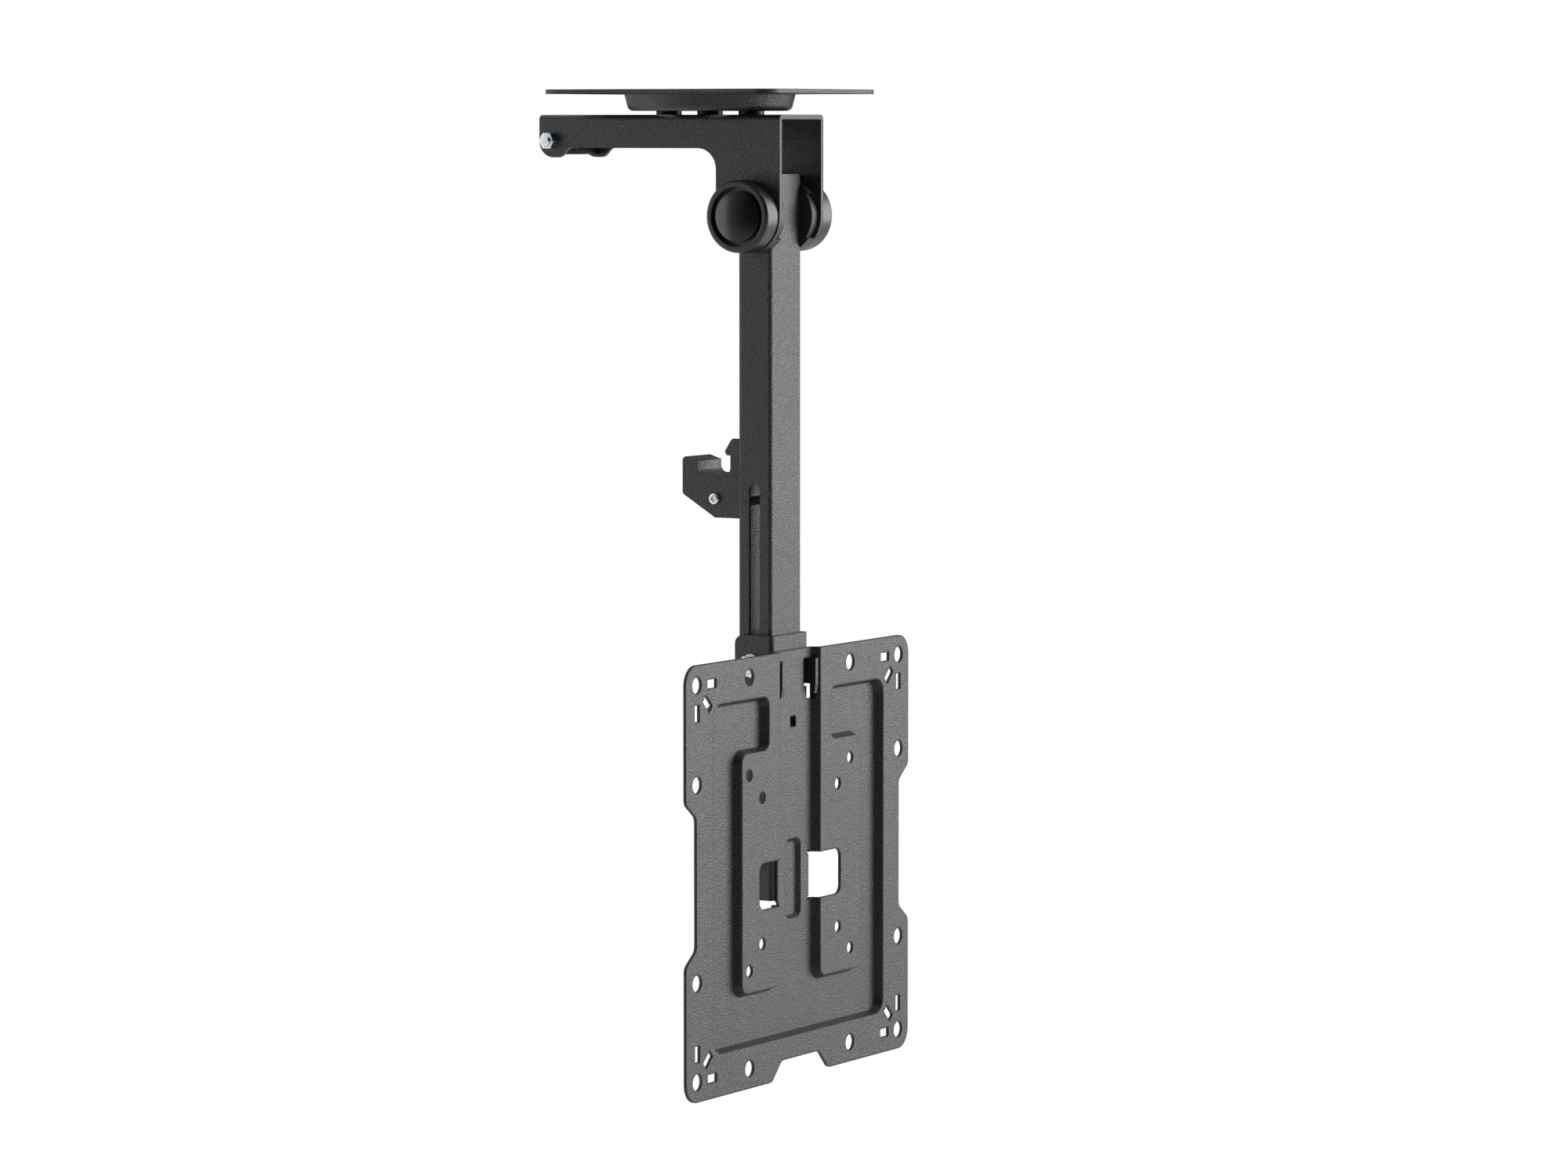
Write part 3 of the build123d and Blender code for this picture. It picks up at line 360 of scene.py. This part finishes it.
# Hinge: a zinc-plated bolt and bush run through the tube, with a satin disc against each flange.
# The discs are hollowed to hold the tube's sides and are coated nearly black.
disc_finish = powder_coat("dark_disc_finish", level=0.024, grain_size=0.0006, edge=0.0003)
for name in ("hinge_bolt", "hinge_nut", "hinge_washers", "hinge_bush"):
    dress(name, zinc_plate)
for name in ("hinge_disc_left", "hinge_disc_right"):
    dress(name, disc_finish)

# Hub covers: two moulded rings pressed over the ends of the hinge bolt, each closed by a polished
# domed cap whose stem snaps into the ring. Both are black, the ring satin and the cap glossy.
hub_satin = moulded("hub_ring_plastic", level=0.02, smooth=0.34, edge=0.0005)
hub_gloss = moulded("hub_cap_plastic", level=0.01, smooth=0.16, edge=0.0003, shine=0.32)
for side in ("left", "right"):
    dress(f"hub_cover_{side}", hub_satin)
    dress(f"hub_cap_{side}", hub_gloss)

# Catch bracket: a folded channel on the tube's back with an open mouth cut in its cheeks, coated
# charcoal. A dark insert backs the mouth, and a zinc-plated cross-head screw holds it.
dress("catch_bracket", charcoal)
dress("catch_insert", charcoal)
dress("catch_screw", zinc_plate)

# Slide bracket: a folded channel round the tube's front, with a hook on each side for the screen
# plate. Two zinc-plated bolts clamp it through the tube's slots at the height that is wanted.
height_places = [(-36.0, -294.4), (-36.0, -392.9)]
cheek_outside = 17.7
height_washer = 1.2
fasteners("height_bolts_threaded", "carriage", hexagon_bolt,
          [(-cheek_outside - height_washer, y, z) for y, z in height_places], leftward,
          {**bolt_m6, "Length": 43.0}, "height_bolts")
fasteners("height_nuts_hexagon", "carriage", hexagon_nut,
          [(cheek_outside, y, z) for y, z in height_places], rightward,
          {"Flats": 10.0, "Height": 5.0}, "height_nuts")
dress("height_washers", zinc_plate)
dress("slide_bracket", charcoal)

# Screen plate: one pressed steel sheet whose field is sunk behind the rim and two raised panels,
# pierced for the common screen patterns, with cable-tie slots and two windows for the hooks.
# Its wide soft edge also widens the painted shade along the pressed folds and cut edges.
dress("vesa_plate", powder_coat("screen_plate_coat", level=0.026, grain_size=0.0008, edge=0.0014))

# Floor: a plain sheet of white paper on a room's floor, 2.3 m below the ceiling face. Its camera
# share of the mount's shadow fades out within 1.9 m of the mount, nearer than the floor lies, so the
# camera sees it as white as the backdrop it runs into.
floor_z = -2.3
floor_half = 9.0
floor_signs = [(-1, -1), (1, -1), (1, 1), (-1, 1)]
floor_corners = [(floor_half * x, floor_half * y, floor_z) for x, y in floor_signs]
floor_mesh = bpy.data.meshes.new("floor")
floor_mesh.from_pydata(floor_corners, [], [(0, 1, 2, 3)])
floor = bpy.data.objects.new("floor", floor_mesh)
bpy.context.scene.collection.objects.link(floor)
paper = Tree(bpy.data.materials.new("floor_paper"))
ray = paper.add("ShaderNodeLightPath", output="Is Camera Ray")
place = paper.add("ShaderNodeTexCoord", output="Object")
away = paper.add("ShaderNodeVectorMath", {"operation": "LENGTH"}, {0: place}, "Value")
mirrored = ray.math("MAXIMUM", ray.beside("Is Glossy Ray"), ray.beside("Is Transmission Ray"))
shown = ray * paper.span(away, 1.0, 1.9, 0.86, 1.0)
glow = paper.add("ShaderNodeEmission", None, {"Color": (1.0, 1.0, 1.0, 1.0)})
matte = paper.add("ShaderNodeBsdfDiffuse", None, {"Color": (0.8, 0.8, 0.8, 1.0)})
faced = paper.add("ShaderNodeMixShader", None, {0: ray.math("MAXIMUM", shown, mirrored), 1: matte, 2: glow})
paper.add("ShaderNodeOutputMaterial", None, {"Surface": faced})
floor_mesh.materials.append(paper.owner)

# Studio light: a white room that is dark on the camera's side and at the far right, and one broad
# soft lamp in front of the screen plate and to its right, which the fronts give back as a sheen.
# A weaker lamp behind does the same for the outer sides of the arm and the tube.
world = bpy.data.worlds.new("white_room")
bpy.context.scene.world = world
room = Tree(world)
ray = room.add("ShaderNodeLightPath", output="Is Camera Ray")
clear = ray.math("MAXIMUM", ray, ray.beside("Is Transmission Ray"))
way = room.add("ShaderNodeTexCoord", output="Generated")
dark_sides = ((205.0, 0.3, 0.7), (15.0, 0.7, 0.9))
darkest = 0.02
fill = 0.13
mirrored = 1.0
for bearing, wide, narrow in dark_sides:
    dark_way = (cos(radians(bearing)), sin(radians(bearing)), 0.0)
    mirrored = mirrored * room.span(room.dot(way, dark_way), wide, narrow, 1.0, darkest)
glossy = ray.beside("Is Glossy Ray")
strength = ray.math("MAXIMUM", clear, glossy * mirrored + (1.0 - glossy) * fill)
lit = room.add("ShaderNodeBackground", None, {"Color": (1.0, 1.0, 1.0, 1.0), "Strength": strength})
room.add("ShaderNodeOutputWorld", None, {"Surface": lit})


def soft_lamp(name, bearing, rise, width, tall, power):
    """A soft lamp 3 m from the middle of the mount, at a bearing from +X towards +Y in degrees."""
    aim = Vector((0.0, 0.0, -0.25))
    turn, lift = radians(bearing), radians(rise)
    data = bpy.data.lights.new(name, "AREA")
    data.shape = "RECTANGLE"
    data.size = width
    data.size_y = tall
    data.energy = power
    lamp = bpy.data.objects.new(name, data)
    lamp.location = aim + 3.0 * Vector((cos(turn) * cos(lift), sin(turn) * cos(lift), sin(lift)))
    lamp.rotation_euler = (aim - lamp.location).to_track_quat("-Z", "Y").to_euler()
    bpy.context.scene.collection.objects.link(lamp)


soft_lamp("front_lamp", bearing=313.0, rise=9.0, width=2.3, tall=2.0, power=91.0)
soft_lamp("rear_lamp", bearing=130.0, rise=0.0, width=1.0, tall=1.8, power=14.5)

# Camera: level with the arm and to the left of the screen plate, 3 m away, through a long lens. Its
# place and turn come from a fit to the screen pattern's holes in the photograph.
camera_data = bpy.data.cameras.new("camera")
camera_data.lens = 131.59
camera_data.sensor_width = 36.0
camera = bpy.data.objects.new("camera", camera_data)
yaw = radians(58.695)
pitch_down = radians(4.604)
look = Vector((sin(yaw) * cos(pitch_down), cos(yaw) * cos(pitch_down), -sin(pitch_down)))
camera.location = (-2.5081, -1.5698, -0.0189)
camera.rotation_euler = look.to_track_quat("-Z", "Y").to_euler()
bpy.context.scene.collection.objects.link(camera)
bpy.context.scene.camera = camera
bpy.context.scene.view_settings.view_transform = "Standard"
